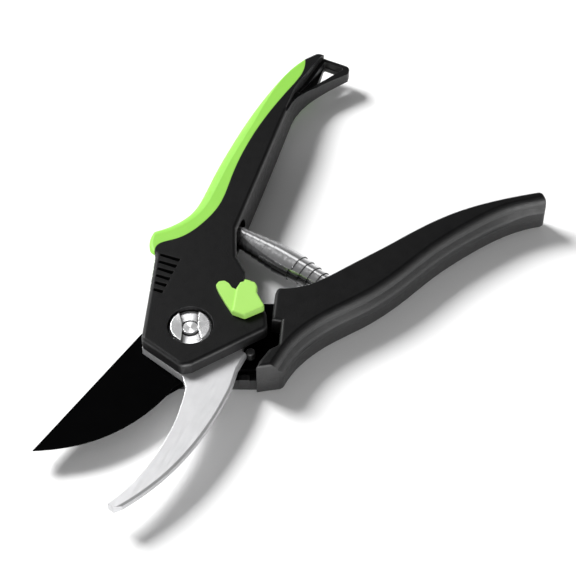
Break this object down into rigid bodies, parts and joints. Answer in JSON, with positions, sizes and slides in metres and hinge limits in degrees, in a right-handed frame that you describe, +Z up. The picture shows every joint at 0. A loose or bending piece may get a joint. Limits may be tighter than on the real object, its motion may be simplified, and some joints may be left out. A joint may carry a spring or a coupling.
{
  "type": "bypass pruner",
  "caption": "Hand-held bypass pruner with a curved cutting blade passing a hooked counter blade, volute return spring, thumb lock and a hang loop in one handle.",
  "frame": {"origin": "on the pivot axis, in the plane the pruner lies on", "axes": "+Z up along the pivot axis, nut side up; +Y from the pivot towards the blade tips; +X towards the hook-side handle's side"},
  "size_m": [0.1109, 0.1974, 0.0196],
  "materials": {
    "black_plastic": "satin black moulded nylon with a fine grain",
    "green_grip": "matte lime-green soft-touch elastomer",
    "green_plastic": "smooth lime-green moulded plastic",
    "satin_steel": "satin ground steel",
    "coated_steel": "matte black non-stick coating on steel",
    "chrome_steel": "bright plated steel",
    "spring_steel": "bright rolled spring strip",
    "zinc_steel": "zinc-plated steel",
    "bronze": "plain sintered bronze"
  },
  "bodies": {
    "hook_side": {"hook_blade": "satin_steel", "hook_handle_cover": "black_plastic", "hook_handle_back": "black_plastic", "soft_grip": "green_grip", "pivot_bolt": "zinc_steel", "bolt_washer": "zinc_steel", "pivot_bushing": "bronze", "nut_washer": "zinc_steel", "pivot_nut": "chrome_steel", "hook_handle_screws": "zinc_steel", "hook_rivets": "zinc_steel", "lock_pin": "zinc_steel", "lock_washer": "zinc_steel", "hook_spring_seat": "black_plastic", "volute_spring": "spring_steel"},
    "blade_side": {"cutting_blade": "coated_steel", "blade_handle_cover": "black_plastic", "blade_handle_back": "black_plastic", "blade_handle_screws": "zinc_steel", "blade_rivets": "zinc_steel", "stop_pin": "zinc_steel", "blade_spring_seat": "black_plastic"},
    "lock": {"lock_lever": "green_plastic"}
  },
  "joints": [
    {"name": "pivot", "type": "hinge", "parent": "hook_side", "child": "blade_side", "pos_m": [0, 0, 0.006], "axis": [0, 0, 1], "range_deg": [0, 30], "stiffness_Nm_per_rad": 0.8, "springref_deg": -20.05, "deforming": ["volute_spring"]},
    {"name": "lock_turn", "type": "hinge", "parent": "hook_side", "child": "lock", "pos_m": [-0.0083, -0.0152, 0.0178], "axis": [0, 0, 1], "range_deg": [-32, 0]}
  ]
}
